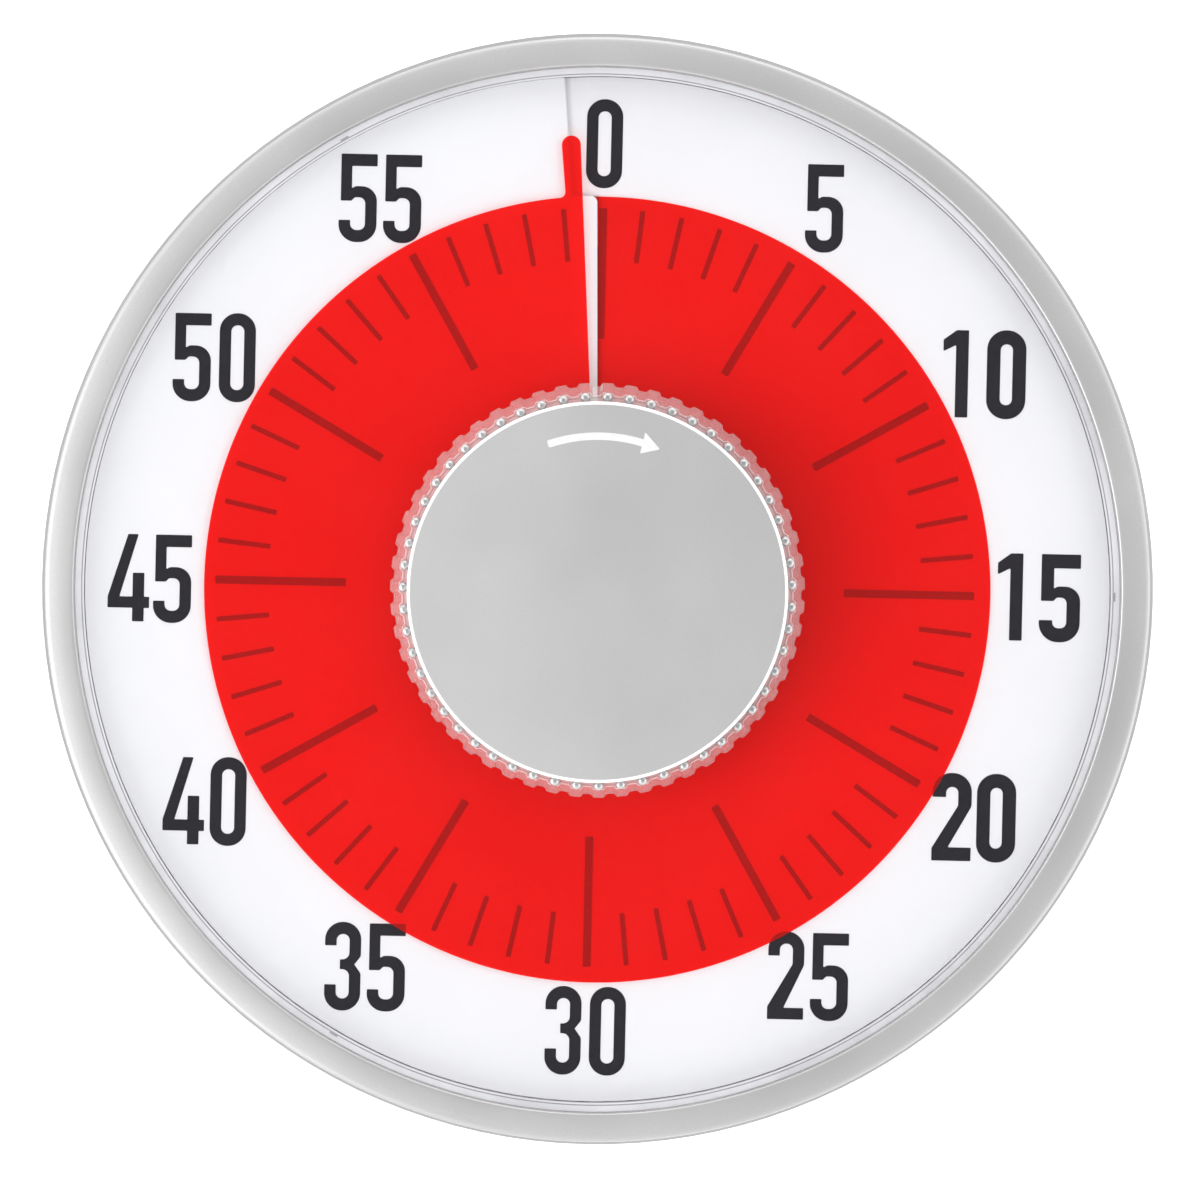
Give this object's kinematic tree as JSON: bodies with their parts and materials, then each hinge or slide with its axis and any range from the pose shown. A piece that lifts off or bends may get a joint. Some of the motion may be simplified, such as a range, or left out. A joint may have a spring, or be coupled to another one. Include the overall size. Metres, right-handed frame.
{
  "type": "kitchen timer",
  "caption": "Round spring-wound minute timer with a clear cover, numbered dial, red time disc and toothed knob on a train of wheels.",
  "frame": {"origin": "centre of the back plane, the lowest point of the timer lying on its back", "axes": "+Z out of the dial towards the viewer, +Y to 12 o'clock, +X to 3 o'clock"},
  "size_m": [0.19, 0.19, 0.0536],
  "materials": {
    "case_plastic": "fine matte light grey",
    "silver_lacquer": "satin silver lacquer",
    "satin_silver": "satin silver",
    "clear_cover": "clear polished plastic",
    "clear_knob": "clear moulded plastic",
    "dial_white": "smooth white, printed",
    "red_film": "translucent red film",
    "black_plastic": "moulded black",
    "steel": "plain steel",
    "spring_steel": "blued spring steel",
    "bell_steel": "nickel plated",
    "brass": "plain brass sheet",
    "magnet": "dark plated magnet"
  },
  "bodies": {
    "case": {"rear_housing": "case_plastic", "bezel_ring": "silver_lacquer", "cover_lens": "clear_cover", "dial_plate": "dial_white", "rear_plate": "brass", "front_plate": "brass", "plate_pillars": "steel", "spring_barrel": "brass", "mainspring": "spring_steel", "hammer_stud": "steel", "hammer_spring": "spring_steel", "bell": "bell_steel", "bell_post": "steel", "bell_screw": "steel", "stand_pin": "steel", "magnets": "magnet", "pillar_screws": "steel", "movement_screws": "steel"},
    "dial_works": {"knob_skirt": "clear_knob", "knob_core": "silver_lacquer", "knob_cap": "satin_silver", "knob_screw": "steel", "red_disc": "red_film", "disc_hub": "black_plastic", "disc_clamp": "black_plastic", "main_arbor": "steel", "ratchet_wheel": "steel", "ratchet_clicks": "spring_steel", "main_wheel": "brass", "alarm_cam": "black_plastic"},
    "second_mobile": {"second_wheel": "brass", "second_pinion": "steel"},
    "third_mobile": {"third_wheel": "brass", "third_pinion": "steel"},
    "escape_mobile": {"escape_wheel": "brass", "escape_pinion": "steel"},
    "balance": {"pallet_anchor": "steel", "balance_bar": "brass", "pallet_arbor": "steel"},
    "hammer": {"hammer_lever": "steel", "hammer_head": "steel"},
    "stand": {"stand_leg": "case_plastic"}
  },
  "joints": [
    {"name": "countdown", "type": "hinge", "parent": "case", "child": "dial_works", "pos_m": [0, 0, 0.03], "axis": [0, 0, 1], "range_deg": [-3.4, 356.6], "deforming": ["red_disc"]},
    {"name": "second_spin", "type": "hinge", "parent": "case", "child": "second_mobile", "pos_m": [-0.01754, 0.01013, 0.015], "axis": [0, 0, 1], "range_deg": [-2900, 60]},
    {"name": "third_spin", "type": "hinge", "parent": "case", "child": "third_mobile", "pos_m": [-0.00989, 0.02338, 0.015], "axis": [0, 0, 1], "range_deg": [-300, 21600]},
    {"name": "escape_spin", "type": "hinge", "parent": "case", "child": "escape_mobile", "pos_m": [0.00272, 0.0256, 0.015], "axis": [0, 0, 1], "range_deg": [-151000, 1800]},
    {"name": "balance_swing", "type": "hinge", "parent": "case", "child": "balance", "pos_m": [0.01259, 0.02919, 0.015], "axis": [0, 0, 1], "range_deg": [-4, 4]},
    {"name": "hammer_swing", "type": "hinge", "parent": "case", "child": "hammer", "pos_m": [-0.0219, -0.01401, 0.024], "axis": [0, 0, 1], "range_deg": [-7.5, 0.8], "stiffness_Nm_per_rad": 0.01},
    {"name": "stand_hinge", "type": "hinge", "parent": "case", "child": "stand", "pos_m": [0, 0.024, 0.0019], "axis": [1, 0, 0], "range_deg": [0, 55]}
  ],
  "couplings": [
    {"joint": "second_spin", "follows": "countdown", "ratio": -8},
    {"joint": "third_spin", "follows": "countdown", "ratio": 60},
    {"joint": "escape_spin", "follows": "countdown", "ratio": -420}
  ]
}
